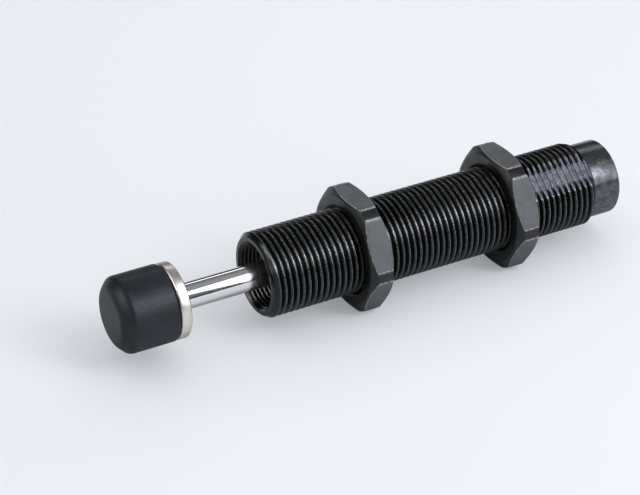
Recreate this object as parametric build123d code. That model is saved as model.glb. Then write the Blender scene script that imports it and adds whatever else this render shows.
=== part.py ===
"""A small hydraulic industrial shock absorber with a threaded barrel, one STEP file per piece.

Sizes are in millimetres. The axis of the barrel is the X axis. The origin is the centre of the
barrel's front face, +X points the way the rod comes out, and +Z is up. Nearly every piece is
turned, so it is drawn as a half section of (x, radius) points and revolved about the axis.
"""
from build123d import *
from math import cos, radians, sqrt, tan
import os

# Across the axis. The damper is laid out from the rod outwards: each wall or gap is added to the
# one inside it, and with these values they add up to an M20 x 1.5 barrel and a 27 mm nut. The
# barrel's thread is cut as rings. The other screw threads are hidden, and each is a plain cylinder
# of the size that clears or meets its mate.
ROD_D = 6.0
BUSH_WALL = 1.2
HEAD_WALL = 0.8
TUBE_WALL = 0.8
OIL_GAP = 1.66
BARREL_WALL = 2.54
NUT_WALL = 3.5
TAIL_STEP = 1.15
ROD_THREAD_D = 4.0
FILL_HOLE_D = 3.24
OIL_DUCT_D = 2.0

# Barrel, along the axis.
BARREL_LENGTH = 92.5
TAIL_LENGTH = 8.2
FLOOR_THICKNESS = 8.0
OIL_DUCT_LENGTH = 1.8
MOUTH_DEPTH = 9.0
THREAD_PITCH = 1.5
THREAD_DEPTH = 0.92
FRONT_CHAMFER = 1.0
MOUTH_CHAMFER = 0.65
TAIL_CHAMFER = 0.5
FLAT_LENGTH = 18.0
FLAT_DEPTH = 0.97
FLAT_TILT = 38.5

# Lock nuts.
NUT_THICKNESS = 6.0
NUT_CORNER_CUT = 0.86
NUT_FACE_MARGIN = 0.65
NUT_CHAMFER_ANGLE = 30.0
NUT_COUNTERSINK = 0.7
FRONT_NUT_PLACE = 22.5
NUT_SPACING = 38.5

# Stroke, plate and bumper.
STROKE = 19.0
PLATE_STANDOFF = 0.4
PLATE_D = 17.5
PLATE_THICKNESS = 2.5
PLATE_EDGE = 0.25
STEM_D = 8.6
STEM_LENGTH = 3.0
STEM_LIP = 1.2
STEM_HEAD_LENGTH = 2.6
STEM_HEAD_CHAMFER = 0.9
BUMPER_OVERHANG = 0.1
BUMPER_LENGTH = 13.3
BUMPER_NOSE = 2.3
BUMPER_RIM = 0.3
BUMPER_NOSE_RADIUS = 1.2

# Gland nut, wiper and rod seal.
GLAND_LENGTH = 5.0
GLAND_CHAMFER = 0.4
SPANNER_HOLE_D = 1.6
SPANNER_HOLE_DEPTH = 2.0
WIPER_WIDTH = 1.7
WIPER_LENGTH = 2.4
WIPER_LIP = 0.5
SEAL_WIDTH = 2.05
SEAL_LENGTH = 3.8
SEAL_GROOVE = 1.9
BACKUP_LENGTH = 1.1

# Guide head and bush.
HEAD_COLLAR_LENGTH = 6.4
HEAD_NECK_LENGTH = 9.0
HEAD_NOSE_LENGTH = 1.5
HEAD_NOSE_STEP = 0.4
TUBE_SPIGOT_LENGTH = 2.5
O_RING_SECTION = 1.3
O_RING_SIDES = 8
BUSH_LENGTH = 12.0
BUSH_STEP = 0.6

# Pressure tube, foam and base plug.
ORIFICE_D = 0.8
ORIFICE_COUNT = 6
RETURN_PORT_D = 1.0
RETURN_PORT_COUNT = 4
FOAM_ON_TUBE = 2.2
PLUG_FLANGE = 1.0
PLUG_SPIGOT = 3.0
SPRING_PILOT_LENGTH = 2.0

# Piston, check plate and return spring.
PISTON_LENGTH = 6.5
PISTON_RING_WIDTH = 1.6
PISTON_RING_DEPTH = 0.8
PISTON_RING_GAP = 0.5
PISTON_BOSS_WALL = 0.6
PASSAGE_D = 0.8
PASSAGE_COUNT = 6
CHECK_PLATE_EDGE = 0.7
CHECK_PLATE_THICKNESS = 0.6
CHECK_LIFT = 0.3
PISTON_NUT_FLANGE = 0.8
SPRING_WIRE_D = 0.7
SPRING_WIRE_SIDES = 6
SPRING_TURNS = 7
SPRING_END_TURNS = 1

# Filling screw.
SCREW_SOCKET_AF = 2.0
SCREW_SOCKET_DEPTH = 1.6
SCREW_RECESS = 0.4

# Clearances, all radial or along the axis.
THREAD_CLEARANCE = 0.05
ROD_CLEARANCE = 0.04
GLAND_ROD_CLEARANCE = 0.2
PISTON_CLEARANCE = 0.04
CHECK_PLATE_CLEARANCE = 0.05
FIT_CLEARANCE = 0.02
FOAM_CLEARANCE = 0.05
GROOVE_CLEARANCE = 0.08
SPRING_CLEARANCE = 0.55
SPRING_COIL_GAP = 0.03
PILOT_CLEARANCE = 0.08
BALL_CLEARANCE = 0.12
STOP_CLEARANCE = 0.1

# Radii, from the rod outwards.
ROD_R = ROD_D / 2
ROD_THREAD_R = ROD_THREAD_D / 2
BUSH_R = ROD_R + BUSH_WALL
TUBE_BORE_R = BUSH_R + HEAD_WALL
TUBE_R = TUBE_BORE_R + TUBE_WALL
BORE_R = TUBE_R + OIL_GAP
THREAD_R = BORE_R + BARREL_WALL
TAIL_R = THREAD_R - TAIL_STEP
NUT_APOTHEM = THREAD_R + NUT_WALL
SEAL_R = ROD_R + SEAL_WIDTH
WIPER_R = ROD_R + WIPER_WIDTH
PISTON_R = TUBE_BORE_R - PISTON_CLEARANCE
PISTON_BOSS_R = ROD_THREAD_R + PISTON_BOSS_WALL
PISTON_GROOVE_R = PISTON_R - PISTON_RING_DEPTH
CHECK_PLATE_R = TUBE_BORE_R - CHECK_PLATE_EDGE
SPRING_MEAN_R = TUBE_BORE_R - SPRING_CLEARANCE - SPRING_WIRE_D / 2
PILOT_R = SPRING_MEAN_R - SPRING_WIRE_D / 2 - PILOT_CLEARANCE
FILL_HOLE_R = FILL_HOLE_D / 2
BALL_R = FILL_HOLE_R - BALL_CLEARANCE
OIL_DUCT_R = OIL_DUCT_D / 2

# Places along the axis, from the mouth to the rear. Each follows from the one before.
TAIL_X = TAIL_LENGTH - BARREL_LENGTH
FLOOR_X = FLOOR_THICKNESS - BARREL_LENGTH
GLAND_X = -MOUTH_DEPTH
HEAD_X = GLAND_X - GLAND_LENGTH
SEAL_X = HEAD_X - BACKUP_LENGTH
POCKET_END_X = SEAL_X - SEAL_LENGTH
BUSH_X = POCKET_END_X - BUSH_STEP
COLLAR_END_X = HEAD_X - HEAD_COLLAR_LENGTH
TUBE_X = COLLAR_END_X - HEAD_NECK_LENGTH
SPIGOT_END_X = TUBE_X - TUBE_SPIGOT_LENGTH
NOSE_END_X = SPIGOT_END_X - HEAD_NOSE_LENGTH
PISTON_X = NOSE_END_X - STOP_CLEARANCE
CHECK_X = PISTON_X - PISTON_LENGTH
PISTON_NUT_X = CHECK_X - CHECK_PLATE_THICKNESS - CHECK_LIFT
SPRING_FRONT_X = PISTON_NUT_X - PISTON_NUT_FLANGE
PISTON_NUT_END_X = SPRING_FRONT_X - SPRING_PILOT_LENGTH
TUBE_END_X = FLOOR_X + PLUG_FLANGE
SPRING_REAR_X = TUBE_END_X + PLUG_SPIGOT
BALL_SEAT_X = FLOOR_X - OIL_DUCT_LENGTH
PLATE_X = STROKE + PLATE_STANDOFF
BUMPER_X = PLATE_X + PLATE_THICKNESS
STEM_END_X = BUMPER_X + STEM_LENGTH + STEM_HEAD_LENGTH


def turned(*points):
    """A solid of revolution about the X axis, from the corners (x, radius) of its half section."""
    return revolve(make_face(Polyline(*points, close=True)), Axis.X)


def ring(x_front, x_rear, outer_r, inner_r=0.0, chamfer_size=0.0):
    """A plain disc or ring between two places, with its outer edges chamfered."""
    c = chamfer_size
    outside = [(x_front, outer_r), (x_rear, outer_r)]
    if c:
        outside = [(x_front, outer_r - c), (x_front - c, outer_r), (x_rear + c, outer_r), (x_rear, outer_r - c)]
    return turned((x_front, inner_r), *outside, (x_rear, inner_r))


def axial_hole(x_front, x_rear, r, from_axis=0.0, angle=0.0):
    """A round cutter parallel to the axis, from_axis away from it."""
    length = x_front - x_rear
    middle = (x_front + x_rear) / 2
    cutter = Pos(middle, 0, from_axis) * Rot(0, 90, 0) * Cylinder(r, length)
    return Rot(angle, 0, 0) * cutter


def radial_hole(x, r, reach, angle=0.0):
    """A round cutter that leaves the axis at a right angle, towards an angle from +Z."""
    return Rot(angle, 0, 0) * Pos(x, 0, reach / 2) * Cylinder(r, reach)


def around(count, cutter):
    """The cutters made by cutter(angle), evenly spaced around the axis."""
    return [cutter(360.0 * i / count) for i in range(count)]


def thread_corners():
    """The barrel's thread in profile: a crest, then the bottom of a V groove, for each whole pitch.

    Rings of the true pitch and depth stand for the helix, so the barrel stays one solid of
    revolution. What is left over at the rear is the plain stretch where the thread runs out.
    """
    turns = int((-FRONT_CHAMFER - TAIL_X) / THREAD_PITCH)
    crests = [-FRONT_CHAMFER - THREAD_PITCH * turn for turn in range(turns + 1)]
    grooves = [crest - THREAD_PITCH / 2 for crest in crests[:turns]]
    corners = [(x, THREAD_R) for x in crests] + [(x, THREAD_R - THREAD_DEPTH) for x in grooves]
    return sorted(corners, reverse=True)


def wrench_flat():
    """The cutter for the flat that is milled across the rear of the thread, tilted from +Z towards +Y."""
    length = FLAT_LENGTH + TAIL_STEP
    middle = TAIL_X - TAIL_STEP + length / 2
    return Rot(-FLAT_TILT, 0, 0) * Pos(middle, 0, THREAD_R) * Box(length, 2 * THREAD_R, 2 * FLAT_DEPTH)


def barrel():
    """The outer body: threaded from its front chamfer to the plain tail, with a blind bore."""
    rear = -BARREL_LENGTH
    body = turned(
        (0, 0), (0, THREAD_R - FRONT_CHAMFER), *thread_corners(),
        (TAIL_X, THREAD_R), (TAIL_X - TAIL_STEP, TAIL_R),
        (rear + TAIL_CHAMFER, TAIL_R), (rear, TAIL_R - TAIL_CHAMFER), (rear, 0))
    bore = turned(
        (0, 0), (0, BORE_R + MOUTH_CHAMFER), (-MOUTH_CHAMFER, BORE_R), (FLOOR_X, BORE_R), (FLOOR_X, 0))
    duct = axial_hole(FLOOR_X, BALL_SEAT_X, OIL_DUCT_R)
    filling = axial_hole(BALL_SEAT_X, rear, FILL_HOLE_R)
    return body - wrench_flat() - bore - duct - filling


def ball_centre_x():
    """The ball rests on the duct's edge, so its centre lies behind it by Pythagoras."""
    return BALL_SEAT_X - sqrt(BALL_R ** 2 - OIL_DUCT_R ** 2) - FIT_CLEARANCE


def lock_nut(face_x):
    """A thin hexagon nut: a hexagonal prism inside a turned blank.

    The blank's cylinder takes the six corners off, its chamfers leave the arcs on the flats, and
    two flats lie level, so the nut can rest on the lower one.
    """
    face_r = NUT_APOTHEM - NUT_FACE_MARGIN
    corner_r = NUT_APOTHEM / cos(radians(30)) - NUT_CORNER_CUT
    drop = (corner_r - face_r) * tan(radians(NUT_CHAMFER_ANGLE))
    rear_x = face_x - NUT_THICKNESS
    blank = turned((face_x, 0), (face_x, face_r), (face_x - drop, corner_r),
                   (rear_x + drop, corner_r), (rear_x, face_r), (rear_x, 0))
    outline = Plane.YZ * RegularPolygon(NUT_APOTHEM, 6, major_radius=False)
    prism = Pos(rear_x, 0, 0) * extrude(outline, NUT_THICKNESS)
    bore_r = THREAD_R + THREAD_CLEARANCE
    c = NUT_COUNTERSINK
    bore = turned((face_x, 0), (face_x, bore_r + c), (face_x - c, bore_r),
                  (rear_x + c, bore_r), (rear_x, bore_r + c), (rear_x, 0))
    return (blank & prism) - bore


def piston_rod():
    """The rod, with a threaded spigot at the front for the plate and one at the rear for the piston."""
    front, rear = STEM_END_X - STEM_HEAD_CHAMFER, PISTON_NUT_END_X
    return turned((front, 0), (front, ROD_THREAD_R), (PLATE_X, ROD_THREAD_R), (PLATE_X, ROD_R),
                  (PISTON_X, ROD_R), (PISTON_X, ROD_THREAD_R), (rear, ROD_THREAD_R), (rear, 0))


def bumper_plate():
    """A disc with a mushroom stem that the bumper snaps over, bored for the rod's spigot."""
    e, r = PLATE_EDGE, PLATE_D / 2
    stem_r, head_r, c = STEM_D / 2, STEM_D / 2 + STEM_LIP, STEM_HEAD_CHAMFER
    head_x = BUMPER_X + STEM_LENGTH
    bore_r = ROD_THREAD_R + FIT_CLEARANCE
    return turned((PLATE_X, bore_r), (PLATE_X, r - e), (PLATE_X + e, r), (BUMPER_X - e, r),
                  (BUMPER_X, r - e), (BUMPER_X, stem_r), (head_x, stem_r), (head_x, head_r),
                  (STEM_END_X - c, head_r), (STEM_END_X, head_r - c), (STEM_END_X, bore_r))


def bumper():
    """The elastomer cap: a cylinder with a conical nose and rounded edges, hollow for the stem."""
    r, end, gap = PLATE_D / 2 + BUMPER_OVERHANG, BUMPER_X + BUMPER_LENGTH, FIT_CLEARANCE
    cap = turned((BUMPER_X, 0), (BUMPER_X, r - BUMPER_RIM), (BUMPER_X + BUMPER_RIM, r),
                 (end - BUMPER_NOSE, r), (end, r - BUMPER_NOSE), (end, 0))
    nose_edges = [e for e in cap.edges().filter_by(GeomType.CIRCLE)
                  if e.arc_center.X > end - BUMPER_NOSE - 0.01]
    cap = fillet(nose_edges, BUMPER_NOSE_RADIUS)
    stem_r = STEM_D / 2 + gap
    head_r = stem_r + STEM_LIP
    head_x, pocket_end = BUMPER_X + STEM_LENGTH - gap, STEM_END_X + gap
    pocket = turned((BUMPER_X, 0), (BUMPER_X, stem_r), (head_x, stem_r), (head_x, head_r),
                    (pocket_end - STEM_HEAD_CHAMFER, head_r),
                    (pocket_end, head_r - STEM_HEAD_CHAMFER), (pocket_end, 0))
    return cap - pocket


def gland_nut():
    """The threaded ring that closes the barrel: wiper pocket in front and two spanner holes."""
    outer_r = BORE_R - FIT_CLEARANCE
    pocket_r = WIPER_R + FIT_CLEARANCE
    nut = ring(GLAND_X, HEAD_X, outer_r, ROD_R + GLAND_ROD_CLEARANCE, GLAND_CHAMFER)
    nut -= ring(GLAND_X, GLAND_X - WIPER_LENGTH, pocket_r)
    hole_circle_r = (pocket_r + outer_r) / 2
    bottom = GLAND_X - SPANNER_HOLE_DEPTH
    return nut - around(2, lambda a: axial_hole(GLAND_X, bottom, SPANNER_HOLE_D / 2, hole_circle_r, a + 90))


def rod_wiper():
    """A scraper ring whose lip stands towards the mouth and meets the rod only at its tip."""
    inner_r = ROD_R + ROD_CLEARANCE
    heel_r = inner_r + WIPER_LIP
    rear = GLAND_X - WIPER_LENGTH
    return turned((GLAND_X, inner_r), (GLAND_X, heel_r + WIPER_LIP), (GLAND_X - WIPER_LIP, WIPER_R),
                  (rear, WIPER_R), (rear, heel_r), (GLAND_X - WIPER_LENGTH / 2, heel_r))


def backup_ring():
    """The hard ring between the gland nut and the rod seal."""
    return ring(HEAD_X, SEAL_X, SEAL_R, ROD_R + ROD_CLEARANCE)


def rod_seal():
    """A U-cup: two lips around a V groove that opens towards the oil."""
    inner_r, outer_r = ROD_R + ROD_CLEARANCE, SEAL_R
    quarter = (outer_r - inner_r) / 4
    middle = (inner_r + outer_r) / 2
    return turned((SEAL_X, inner_r), (SEAL_X, outer_r), (POCKET_END_X, outer_r),
                  (POCKET_END_X, outer_r - quarter), (POCKET_END_X + SEAL_GROOVE, middle),
                  (POCKET_END_X, inner_r + quarter), (POCKET_END_X, inner_r))


def o_ring_groove():
    """Where the guide head's groove lies: (front x, rear x, bottom radius)."""
    middle = (HEAD_X + COLLAR_END_X) / 2
    half = O_RING_SECTION / 2 + GROOVE_CLEARANCE
    return middle + half, middle - half, BORE_R - O_RING_SECTION - GROOVE_CLEARANCE


def guide_head():
    """The head: collar with a seal pocket and a ring groove, neck, tube spigot and stop nose."""
    collar_r, neck_r = BORE_R - FIT_CLEARANCE, TUBE_R
    spigot_r, nose_r = TUBE_BORE_R - FIT_CLEARANCE, TUBE_BORE_R - HEAD_NOSE_STEP
    bush_r = BUSH_R + FIT_CLEARANCE
    bush_end, step_r = BUSH_X - BUSH_LENGTH, ROD_R + GLAND_ROD_CLEARANCE
    groove_front, groove_rear, groove_r = o_ring_groove()
    seal_r = SEAL_R + FIT_CLEARANCE
    return turned(
        (HEAD_X, seal_r), (HEAD_X, collar_r), (groove_front, collar_r), (groove_front, groove_r),
        (groove_rear, groove_r), (groove_rear, collar_r), (COLLAR_END_X, collar_r),
        (COLLAR_END_X, neck_r), (TUBE_X, neck_r), (TUBE_X, spigot_r), (SPIGOT_END_X, spigot_r),
        (SPIGOT_END_X, nose_r), (NOSE_END_X, nose_r), (NOSE_END_X, step_r), (bush_end, step_r),
        (bush_end, bush_r), (BUSH_X, bush_r), (BUSH_X, step_r), (POCKET_END_X, step_r),
        (POCKET_END_X, seal_r))


def head_o_ring():
    """The ring in the guide head's groove. It is hidden, so its round section has a few flat sides."""
    front, rear, bottom_r = o_ring_groove()
    section_r = O_RING_SECTION / 2
    middle_r = bottom_r + GROOVE_CLEARANCE / 2 + section_r
    section = Pos((front + rear) / 2, middle_r) * RegularPolygon(section_r, O_RING_SIDES)
    return revolve(section, Axis.X)


def bearing_bush():
    """The bronze bush that guides the rod."""
    return ring(BUSH_X, BUSH_X - BUSH_LENGTH, BUSH_R, ROD_R + ROD_CLEARANCE)


def accumulator_foam():
    """The foam sleeve around the head's neck and the front of the tube, clear of its return ports."""
    return ring(COLLAR_END_X, TUBE_X - FOAM_ON_TUBE, BORE_R - FOAM_CLEARANCE, TUBE_R + FOAM_CLEARANCE)


def orifice_places():
    """Where the metering orifices lie, counted from the piston ring at rest.

    A load that is stopped by a constant force loses its speed as the square root of the stroke
    that is left. The open orifice area follows the speed, so orifice k of n is shut at a share
    1 - (k / n) squared of the stroke, and the orifices crowd together towards its end.
    """
    ring_x = PISTON_X - (PISTON_LENGTH + PISTON_RING_WIDTH) / 2
    shares = [1 - (k / ORIFICE_COUNT) ** 2 for k in range(ORIFICE_COUNT)]
    return [ring_x - STROKE * share for share in shares]


def pressure_tube():
    """The tube that the piston runs in, with metering orifices on top and a ring of return ports."""
    tube = ring(TUBE_X, TUBE_END_X, TUBE_R, TUBE_BORE_R)
    reach = TUBE_R + 1
    tube -= [radial_hole(x, ORIFICE_D / 2, reach) for x in orifice_places()]
    port_x = (SPIGOT_END_X + NOSE_END_X) / 2
    return tube - around(RETURN_PORT_COUNT, lambda a: radial_hole(port_x, RETURN_PORT_D / 2, reach, a + 45))


def piston():
    """The piston, grooved for its ring, drilled with return passages, with a boss for the check plate."""
    bore_r, groove_r, boss_r = ROD_THREAD_R + FIT_CLEARANCE, PISTON_GROOVE_R, PISTON_BOSS_R
    passage_circle_r = (boss_r + groove_r) / 2
    front_groove, rear_groove = piston_ring_places(FIT_CLEARANCE)
    body = turned((PISTON_X, bore_r), (PISTON_X, PISTON_R), (front_groove, PISTON_R),
                  (front_groove, groove_r), (rear_groove, groove_r), (rear_groove, PISTON_R),
                  (CHECK_X, PISTON_R), (CHECK_X, boss_r), (PISTON_NUT_X, boss_r), (PISTON_NUT_X, bore_r))
    return body - around(PASSAGE_COUNT, lambda a: axial_hole(
        PISTON_X, CHECK_X, PASSAGE_D / 2, passage_circle_r, a))


def piston_ring_places(gap=0.0):
    """The front and rear of the piston ring, or of its groove when gap is added."""
    middle = PISTON_X - PISTON_LENGTH / 2
    return middle + PISTON_RING_WIDTH / 2 + gap, middle - PISTON_RING_WIDTH / 2 - gap


def piston_ring():
    """A split ring, open at the top."""
    front, rear = piston_ring_places()
    inner_r = PISTON_GROOVE_R + FIT_CLEARANCE
    slot = Pos((front + rear) / 2, 0, PISTON_R) * Box(2 * PISTON_RING_WIDTH, PISTON_RING_GAP, 2 * PISTON_RING_DEPTH)
    return ring(front, rear, PISTON_R, inner_r) - slot


def check_plate():
    """The thin ring that rides on the piston's boss and shuts the passages in its rear face."""
    inner_r = PISTON_BOSS_R + CHECK_PLATE_CLEARANCE
    return ring(CHECK_X, CHECK_X - CHECK_PLATE_THICKNESS, CHECK_PLATE_R, inner_r)


def piston_nut():
    """The nut that clamps the piston: a flange for the spring and a pilot inside its first coil."""
    bore_r, end = ROD_THREAD_R + FIT_CLEARANCE, PISTON_NUT_END_X
    return turned((PISTON_NUT_X, bore_r), (PISTON_NUT_X, CHECK_PLATE_R), (SPRING_FRONT_X, CHECK_PLATE_R),
                  (SPRING_FRONT_X, PILOT_R), (end, PILOT_R), (end, bore_r))


def return_spring():
    """A compression spring, close wound at both ends: three helices, with a small ball where two meet.

    The wire is swept with a few flat sides, which keeps its long surface light.
    """
    wire_r, ball_r = SPRING_WIRE_D / 2, SPRING_WIRE_D / 2 + SPRING_COIL_GAP / 3
    end_pitch = SPRING_WIRE_D + SPRING_COIL_GAP
    end_rise = end_pitch * SPRING_END_TURNS
    working_rise = SPRING_FRONT_X - SPRING_REAR_X - SPRING_WIRE_D - 2 * end_rise
    coils = [(0, end_pitch, end_rise, 0),
             (end_rise, working_rise / SPRING_TURNS, working_rise, SPRING_END_TURNS),
             (end_rise + working_rise, end_pitch, end_rise, SPRING_END_TURNS + SPRING_TURNS)]
    spring = None
    for z, pitch, rise, turns in coils:
        path = Pos(0, 0, z) * Rot(0, 0, 360 * turns) * Helix(pitch, rise, SPRING_MEAN_R)
        section = Plane(origin=path @ 0, z_dir=path % 0) * RegularPolygon(wire_r, SPRING_WIRE_SIDES)
        coil = sweep(section, path=path, is_frenet=True)
        spring = coil if spring is None else spring + Pos(path @ 0) * Sphere(ball_r) + coil
    return Pos(SPRING_REAR_X + wire_r, 0, 0) * Rot(0, 90, 0) * spring


def tube_base_plug():
    """The plug that closes the tube's rear end, drilled for the oil and stepped for the spring."""
    spigot_r, duct_r = TUBE_BORE_R - FIT_CLEARANCE, OIL_DUCT_R
    pilot_x = SPRING_REAR_X + SPRING_PILOT_LENGTH
    return turned((pilot_x, duct_r), (pilot_x, PILOT_R), (SPRING_REAR_X, PILOT_R),
                  (SPRING_REAR_X, spigot_r), (TUBE_END_X, spigot_r), (TUBE_END_X, TUBE_R),
                  (FLOOR_X, TUBE_R), (FLOOR_X, duct_r))


def fill_ball():
    """The ball that seals the filling hole, resting on the end of the oil duct."""
    return Pos(ball_centre_x(), 0, 0) * Sphere(BALL_R)


def fill_screw():
    """The set screw behind the ball, with a hexagon socket open to the rear."""
    front = ball_centre_x() - BALL_R
    rear = SCREW_RECESS - BARREL_LENGTH
    body = ring(front, rear, FILL_HOLE_R - FIT_CLEARANCE)
    socket = Plane.YZ * RegularPolygon(SCREW_SOCKET_AF / 2, 6, major_radius=False)
    return body - Pos(rear, 0, 0) * extrude(socket, SCREW_SOCKET_DEPTH)


PIECES = {
    "barrel": barrel,
    "front_lock_nut": lambda: lock_nut(-FRONT_NUT_PLACE),
    "rear_lock_nut": lambda: lock_nut(-FRONT_NUT_PLACE - NUT_SPACING),
    "piston_rod": piston_rod,
    "bumper_plate": bumper_plate,
    "bumper": bumper,
    "gland_nut": gland_nut,
    "rod_wiper": rod_wiper,
    "backup_ring": backup_ring,
    "rod_seal": rod_seal,
    "guide_head": guide_head,
    "head_o_ring": head_o_ring,
    "bearing_bush": bearing_bush,
    "accumulator_foam": accumulator_foam,
    "pressure_tube": pressure_tube,
    "piston": piston,
    "piston_ring": piston_ring,
    "check_plate": check_plate,
    "piston_nut": piston_nut,
    "return_spring": return_spring,
    "tube_base_plug": tube_base_plug,
    "fill_ball": fill_ball,
    "fill_screw": fill_screw,
}

os.makedirs("parts", exist_ok=True)
for name, make in PIECES.items():
    export_step(make(), f"parts/{name}.step")
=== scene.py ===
# %% [markdown]
# # A hydraulic shock absorber on a white table
#
# This lesson dresses a CAD model of a small industrial shock absorber: a black threaded barrel with
# two lock nuts, a chrome rod, and a rubber bumper that takes the blow. The CAD model gives every
# piece its place and size. Here the outside gets what CAD leaves out: cut threads, softened edges,
# and finishes with the small flaws that make metal and rubber look real.
#
# The X axis is the axis of the barrel. The origin is the centre of the barrel's front face, and the
# rod comes out towards +X. Shapes are worked out in millimetres, and MM turns them into metres.

# %% Load the CAD model as a fixed frame
import bpy
import bmesh
import math
import numpy as np
from mathutils import Matrix, Vector


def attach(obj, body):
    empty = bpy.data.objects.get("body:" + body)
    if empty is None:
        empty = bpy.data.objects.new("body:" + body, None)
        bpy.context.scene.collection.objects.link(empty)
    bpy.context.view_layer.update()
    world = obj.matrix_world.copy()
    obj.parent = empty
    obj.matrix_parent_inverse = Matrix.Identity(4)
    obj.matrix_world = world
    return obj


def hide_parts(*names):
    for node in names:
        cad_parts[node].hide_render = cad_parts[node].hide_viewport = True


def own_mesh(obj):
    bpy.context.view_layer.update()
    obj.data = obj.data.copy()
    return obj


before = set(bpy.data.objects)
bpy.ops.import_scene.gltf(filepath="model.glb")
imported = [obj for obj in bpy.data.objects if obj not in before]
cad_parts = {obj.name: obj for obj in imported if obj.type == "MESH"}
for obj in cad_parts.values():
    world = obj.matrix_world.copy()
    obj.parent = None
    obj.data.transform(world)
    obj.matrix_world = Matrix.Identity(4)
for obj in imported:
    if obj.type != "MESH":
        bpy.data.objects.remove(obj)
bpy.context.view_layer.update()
MM = 0.001
print("CAD nodes:", len(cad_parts))

# %% [markdown]
# ## The camera
#
# The product photograph was taken from above and in front, with a long lens, so the far end of the
# barrel is hardly smaller than the near end. A camera in Blender looks along its own -Z axis. It
# could be turned with three angles or a Track To constraint. Here its matrix is put together from
# three directions instead, right, up and backwards, because fitting a camera to a photograph gives
# exactly those.

# %% Add an object to the scene
def add_object(name, data):
    """An object that holds a mesh, a lamp or a camera, linked to the scene."""
    made = bpy.data.objects.new(name, data)
    bpy.context.scene.collection.objects.link(made)
    return made


# %% Camera
LENS_MM, SENSOR_MM = 137.64, 36.0
RIGHT = Vector((-0.878705, 0.477365, 0.0))
FORWARD = Vector((-0.403518, -0.742772, -0.534288))
CAMERA_AT = (0.20565, 0.40929, 0.29693)

camera_data = bpy.data.cameras.new("product_camera")
camera_data.lens, camera_data.sensor_width = LENS_MM, SENSOR_MM
camera_data.clip_start, camera_data.clip_end = 0.02, 20.0
camera = add_object("product_camera", camera_data)
bpy.context.scene.camera = camera
place = Matrix.Identity(4)
for column, direction in enumerate((RIGHT, RIGHT.cross(FORWARD), -FORWARD)):
    place.col[column][:3] = direction
place.translation = CAMERA_AT
camera.matrix_world = place
print("camera looks down by", round(math.degrees(math.asin(-FORWARD.z)), 1), "degrees")

# %% [markdown]
# ## Surfaces from grids
#
# Nearly every piece here was turned on a lathe. Such a surface is a function of two parameters: how
# far one is along the profile, and the angle about the axis. It is worked out as one numpy array of
# points, rows along the profile and columns around the axis, and then woven into four-sided faces.
# Points that fall on each other, at a seam or at a pole, are merged afterwards.
#
# Blender's Screw modifier turns a profile too, but only evenly. With the points worked out in numpy,
# x and the radius may also depend on the angle, so one recipe makes the threads and the six-sided
# nuts as well.

# %% Weave a grid of points into faces
def weave(points):
    """The faces of a grid: each joins a point to the next in its row and to two in the next row."""
    rows, columns = points.shape[:2]
    index = np.arange(rows * columns).reshape(rows, columns)
    corners = index[:-1, :-1], index[1:, :-1], index[1:, 1:], index[:-1, 1:]
    return np.stack(corners, axis=-1).reshape(-1, 4)


print("3 rows of 4 points make", len(weave(np.zeros((3, 4, 3)))), "faces")


# %% Which way the faces look
def volume_of(points, quads):
    """Signed volume: the sum of the wedges between the origin and both halves of each face."""
    a, b, c, d = (points[quads[:, k]] for k in range(4))
    return np.sum(np.cross(a, b) * c + np.cross(a, c) * d) / 6


# %% Make a mesh piece from one or more grids
MERGE_WITHIN = 2e-7  # metres


def make_piece(name, grids, body, stands_for, smooth_below=40.0):
    """Joins the grids, turns the faces outwards, merges doubled points and shades smoothly.

    Where two faces meet at more than smooth_below degrees, the edge between them stays sharp.
    """
    points = np.concatenate([g.reshape(-1, 3) for g in grids])
    starts = np.cumsum([0] + [g.shape[0] * g.shape[1] for g in grids[:-1]])
    quads = np.concatenate([weave(g) + start for g, start in zip(grids, starts)])
    if volume_of(points, quads) < 0:
        quads = quads[:, ::-1]
    mesh = bpy.data.meshes.new(name)
    mesh.vertices.add(len(points))
    mesh.vertices.foreach_set("co", (points * MM).ravel())
    mesh.loops.add(quads.size)
    mesh.loops.foreach_set("vertex_index", np.ascontiguousarray(quads).ravel())
    mesh.polygons.add(len(quads))
    mesh.polygons.foreach_set("loop_start", np.arange(0, quads.size, 4))
    mesh.update()
    work = bmesh.new()
    work.from_mesh(mesh)
    bmesh.ops.remove_doubles(work, verts=work.verts, dist=MERGE_WITHIN)
    open_edges = sum(1 for edge in work.edges if len(edge.link_faces) != 2)
    work.to_mesh(mesh)
    work.free()
    mesh.shade_smooth()
    mesh.set_sharp_from_angle(angle=math.radians(smooth_below))
    mesh.validate()
    piece = add_object(name, mesh)
    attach(piece, body)
    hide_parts(stands_for)
    triangles = sum(len(face.vertices) - 2 for face in mesh.polygons)
    print(f"{name}: {triangles} triangles, {open_edges} open edges")
    return piece


# %% [markdown]
# ## Turned shapes
#
# A profile is a list of (x, radius) corners. A real edge is never perfectly sharp: a deburring tool
# or a tumbling drum leaves it slightly round, and that thin round edge is what catches the light. A
# Bevel modifier could round the finished mesh. It is simpler to round the flat profile first:
# `softened` replaces each corner by a short curve, and `turned` carries the profile around the axis.

# %% Soften the corners of a profile
LARGEST_CUT = 0.45  # of a side, so that the cuts at its two ends never meet


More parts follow.
